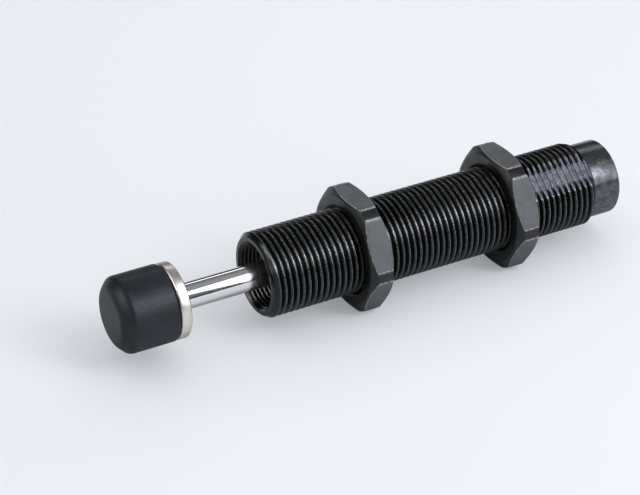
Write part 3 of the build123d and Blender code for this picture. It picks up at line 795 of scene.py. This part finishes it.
# %% Seals, plastic and foam inside
def inner_soft(name, dark, light, roughness, grain_scale, bump_mm, *painted):
    """A moulded or foamed material: a grain of one size, and a tone between two colours."""
    material, shader, where = new_material(name)
    grain = noise(where, grain_scale, 3.0, 0.6)
    dress(shader, Base_Color=blend(remap(grain, 0.3, 0.7), dark, light),
          Roughness=remap(grain, 0.3, 0.7, roughness, roughness + 0.15),
          bump=grain, bump_mm=bump_mm)
    paint(material, *painted)


inner_soft("seal_rubber", grey(0.012), grey(0.022), 0.45, 3000.0, 0.004,
           "rod_wiper", "rod_seal", "head_o_ring")
inner_soft("white_plastic", grey(0.62, 0.02), grey(0.72, 0.01), 0.4, 1500.0, 0.002, "backup_ring")
inner_soft("foam", grey(0.05), grey(0.16), 0.85, 2400.0, 0.15, "accumulator_foam")

# %% [markdown]
# ## The table
#
# The damper lies on a seamless pale surface. The surface keeps the object's soft shadow, which tells
# the eye that the part rests there. Two of each nut's flats are level, so the nuts are what it
# stands on. One large square does for it: a curved backdrop would never come into the picture.

# %% Table
TABLE_Z, TABLE_HALF = -NUT_APOTHEM * MM, 3
corners = [(TABLE_HALF * x, TABLE_HALF * y, TABLE_Z) for x, y in ((-1, -1), (1, -1), (1, 1), (-1, 1))]
table_mesh = bpy.data.meshes.new("table")
table_mesh.from_pydata(corners, [], [(0, 1, 2, 3)])
table = add_object("table", table_mesh)
table_paint, shader, where = new_material("table_paint")
paint(table_paint, "table")

# %% [markdown]
# The photographer's table is also lit from below, which thins the shadows out. A Light Path node
# tells which rays come from the camera or from a mirror. The camera sees the table mixed with 27
# percent of a glow that is a little weaker on the bumper's side, a mirror sees a fifth of that, and
# scattered light sees none, so the glow hardly lights the object. More lamps would thin the shadows
# too, but they would also flatten the object. The same node gives mirrors and bounced light a table
# with painted shade, and a painted shadow darkest close under the object, which keeps the black
# pieces dark below.

# %% The two looks of the table
def ray_is(wire, kind):
    """1 for rays of one kind and 0 for all others."""
    path = wire.tree.nodes.new("ShaderNodeLightPath")
    return Wire(wire.tree, path.outputs[f"Is {kind} Ray"])


pale = blend(noise(where, 3.0, 2.0, 0.5), (0.66, 0.675, 0.69, 1.0), (0.675, 0.69, 0.705, 1.0))
# Painted shade: mirrors and bounced light see a darker table, with a painted shadow darkest within 2 mm
# of the axis line and gone by 16 mm.
away = remap(coordinate(where, Y).maths("ABSOLUTE"), 2 * MM, 16 * MM)
painted_shade_table = blend(away, (0.27, 0.27, 0.275, 1.0), (0.56, 0.565, 0.57, 1.0))
bounced = ray_is(where, "Diffuse") + ray_is(where, "Glossy")
dress(shader, Base_Color=blend(bounced, pale, painted_shade_table), Roughness=0.9, Specular_IOR_Level=0.1)

# %% Glow of the table
GLOW, MIRRORED_GLOW = 0.27, 0.2
seen = largest(ray_is(where, "Camera"), ray_is(where, "Glossy") * MIRRORED_GLOW,
               ray_is(where, "Transmission"))
across_table = remap(coordinate(where, X), -0.15, 0.15)
glow_colour = blend(across_table, (0.92, 0.955, 0.985, 1.0), (0.82, 0.855, 0.9, 1.0))
glow = seen.node("ShaderNodeEmission", {}, {0: glow_colour, 1: 1.0})
lit = Wire(where.tree, shader.outputs[0])
both = seen.node("ShaderNodeMixShader", {}, {0: seen * GLOW, 1: lit, 2: glow})
where.tree.links.new(both.socket, where.tree.nodes["Material Output"].inputs["Surface"])
print("table_paint:", len(where.tree.nodes), "nodes")

# %% [markdown]
# ## Light
#
# A polished rod is a record of the studio: each angle around it mirrors one height in the room. The
# photograph's rod shows a large white soft box at the camera's side, well above the table and
# brightest in its middle, a weaker one behind the object, a dim ceiling, and the pale table below.
# The same room is built here. Black metal is drawn almost only by what it reflects, so this matters
# more than any colour.
#
# A picture of a studio wrapped around the world would light it too, but a few lamps can be moved one
# by one until the lines on the rod match. Mirrors see the dim ceiling. Scattered light sees a dome
# instead, brightest overhead, which softens the shadow. A last box beyond the bumper shows only in
# reflections: it draws the edge of the bumper's nose and the chamfer of the mouth.

# %% The room
world = bpy.data.worlds.new("studio_room")
bpy.context.scene.world = world
world.use_nodes = True
tree = world.node_tree
background = tree.nodes["Background"]
direction = Wire(tree, tree.nodes.new("ShaderNodeTexCoord").outputs["Generated"])
climb = coordinate(direction, Z)
ceiling = remap(climb + coordinate(direction, Y) * 0.3, 0.3, 1.0, 0.05, 0.3)
dome = climb * 1.3 + 0.05
scattered = ray_is(direction, "Diffuse")
strength = (1 - scattered) * ceiling + scattered * dome
background.inputs["Color"].default_value = (0.98, 0.99, 1.02, 1.0)
tree.links.new(strength.socket, background.inputs["Strength"])
print("room:", len(tree.nodes), "nodes")

# %% Soft boxes
ROOM_CENTRE = Vector((-0.03, 0.0, 0.0))


def soft_box(name, azimuth, elevation, distance, width, height, radiance, tint=(1, 1, 1)):
    """A rectangular lamp, placed by its direction from the object and turned towards it.

    A flat lamp of area A that sends out power P has the radiance P / (pi A), and radiance 1 is the
    brightness of plain white. So the power follows from how bright the lamp should look.
    """
    a, e = math.radians(azimuth), math.radians(elevation)
    away = Vector((math.cos(a) * math.cos(e), math.sin(a) * math.cos(e), math.sin(e)))
    data = bpy.data.lights.new(name, "AREA")
    data.shape, data.size, data.size_y = "RECTANGLE", width, height
    data.energy, data.color = math.pi * width * height * radiance, tint
    lamp = add_object(name, data)
    lamp.location = ROOM_CENTRE + away * distance
    lamp.rotation_mode = "QUATERNION"
    lamp.rotation_quaternion = (-away).to_track_quat("-Z", "Y")
    print(name, "power", round(data.energy, 2), "W")
    return lamp


# Each line gives azimuth and elevation in degrees, distance, width and height in metres, radiance.
soft_box("main_box", 124, 37, 0.9, 0.6, 0.96, 2.3, (0.97, 0.98, 1.02))
soft_box("hot_middle", 122, 38, 0.88, 0.2, 0.27, 10.5, (0.93, 0.97, 1.06))
soft_box("back_box", -118, 35, 0.9, 0.9, 0.17, 1.5)
front_box = soft_box("front_box", -10, 28, 0.9, 0.66, 0.24, 4.5)
front_box.visible_diffuse = False
bpy.context.scene.view_settings.view_transform = "Standard"
